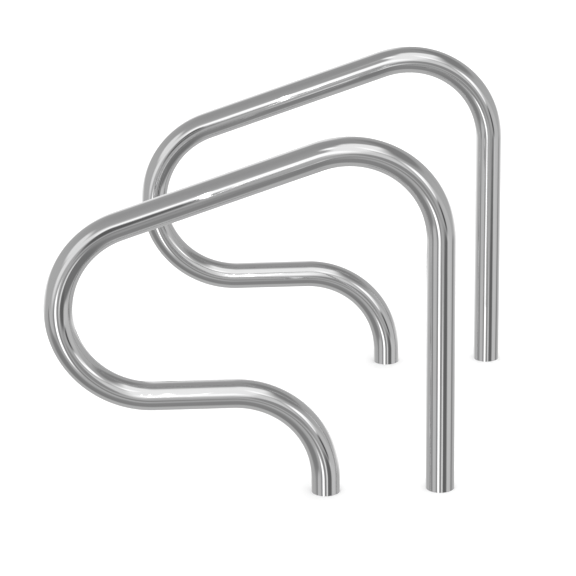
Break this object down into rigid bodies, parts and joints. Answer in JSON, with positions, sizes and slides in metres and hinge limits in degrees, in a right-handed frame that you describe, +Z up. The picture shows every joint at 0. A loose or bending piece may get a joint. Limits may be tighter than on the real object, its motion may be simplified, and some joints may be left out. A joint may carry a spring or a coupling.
{
  "type": "pool handrail pair",
  "caption": "Pair of bent tube pool handrails with sloped handholds and nose bends, each standing in deck sockets with bolted wedges.",
  "frame": {"origin": "where the centre line of the right rail's post meets the finished deck surface", "axes": "+Z up; -X towards the pool, the way the rails' noses point; +Y from the right rail to the left rail, right and left as a bather climbing out meets them"},
  "size_m": [0.864, 0.7036, 0.7215],
  "materials": {
    "polished_stainless": "polished",
    "cast_bronze": "satin",
    "machined_bronze": "satin",
    "stainless_fastener": "satin",
    "brass_screw": "satin"
  },
  "bodies": {
    "deck_sockets": {"right_post_socket": "cast_bronze", "right_post_washer": "stainless_fastener", "right_post_bonding_screw": "brass_screw", "right_foot_socket": "cast_bronze", "right_foot_washer": "stainless_fastener", "right_foot_bonding_screw": "brass_screw", "left_post_socket": "cast_bronze", "left_post_washer": "stainless_fastener", "left_post_bonding_screw": "brass_screw", "left_foot_socket": "cast_bronze", "left_foot_washer": "stainless_fastener", "left_foot_bonding_screw": "brass_screw"},
    "right_rail": {"right_rail": "polished_stainless"},
    "right_post_bolt": {"right_post_wedge_bolt": "stainless_fastener"},
    "right_post_wedge": {"right_post_wedge": "machined_bronze"},
    "right_foot_bolt": {"right_foot_wedge_bolt": "stainless_fastener"},
    "right_foot_wedge": {"right_foot_wedge": "machined_bronze"},
    "left_rail": {"left_rail": "polished_stainless"},
    "left_post_bolt": {"left_post_wedge_bolt": "stainless_fastener"},
    "left_post_wedge": {"left_post_wedge": "machined_bronze"},
    "left_foot_bolt": {"left_foot_wedge_bolt": "stainless_fastener"},
    "left_foot_wedge": {"left_foot_wedge": "machined_bronze"}
  },
  "joints": [
    {"name": "right_rail_lift", "type": "slide", "parent": "deck_sockets", "child": "right_rail", "axis": [0, 0, 1], "range_m": [0, 0.12]},
    {"name": "right_post_wedge_travel", "type": "slide", "parent": "deck_sockets", "child": "right_post_wedge", "axis": [0, 0, -1], "range_m": [0, 0.00952]},
    {"name": "right_post_bolt_turn", "type": "hinge", "parent": "deck_sockets", "child": "right_post_bolt", "pos_m": [0.036, 0, -0.012], "axis": [0, 0, 1], "range_deg": [0, 2160]},
    {"name": "right_foot_wedge_travel", "type": "slide", "parent": "deck_sockets", "child": "right_foot_wedge", "axis": [0, 0, -1], "range_m": [0, 0.00952]},
    {"name": "right_foot_bolt_turn", "type": "hinge", "parent": "deck_sockets", "child": "right_foot_bolt", "pos_m": [-0.1575, 0, -0.012], "axis": [0, 0, 1], "range_deg": [0, 2160]},
    {"name": "left_rail_lift", "type": "slide", "parent": "deck_sockets", "child": "left_rail", "axis": [0, 0, 1], "range_m": [0, 0.12]},
    {"name": "left_post_wedge_travel", "type": "slide", "parent": "deck_sockets", "child": "left_post_wedge", "axis": [0, 0, -1], "range_m": [0, 0.00952]},
    {"name": "left_post_bolt_turn", "type": "hinge", "parent": "deck_sockets", "child": "left_post_bolt", "pos_m": [0.186, 0.6096, -0.012], "axis": [0, 0, 1], "range_deg": [0, 2160]},
    {"name": "left_foot_wedge_travel", "type": "slide", "parent": "deck_sockets", "child": "left_foot_wedge", "axis": [0, 0, -1], "range_m": [0, 0.00952]},
    {"name": "left_foot_bolt_turn", "type": "hinge", "parent": "deck_sockets", "child": "left_foot_bolt", "pos_m": [-0.0075, 0.6096, -0.012], "axis": [0, 0, 1], "range_deg": [0, 2160]}
  ],
  "couplings": [
    {"joint": "right_post_bolt_turn", "follows": "right_post_wedge_travel", "rad_per_m": 3957.9},
    {"joint": "right_foot_bolt_turn", "follows": "right_foot_wedge_travel", "rad_per_m": 3957.9},
    {"joint": "left_post_bolt_turn", "follows": "left_post_wedge_travel", "rad_per_m": 3957.9},
    {"joint": "left_foot_bolt_turn", "follows": "left_foot_wedge_travel", "rad_per_m": 3957.9}
  ]
}
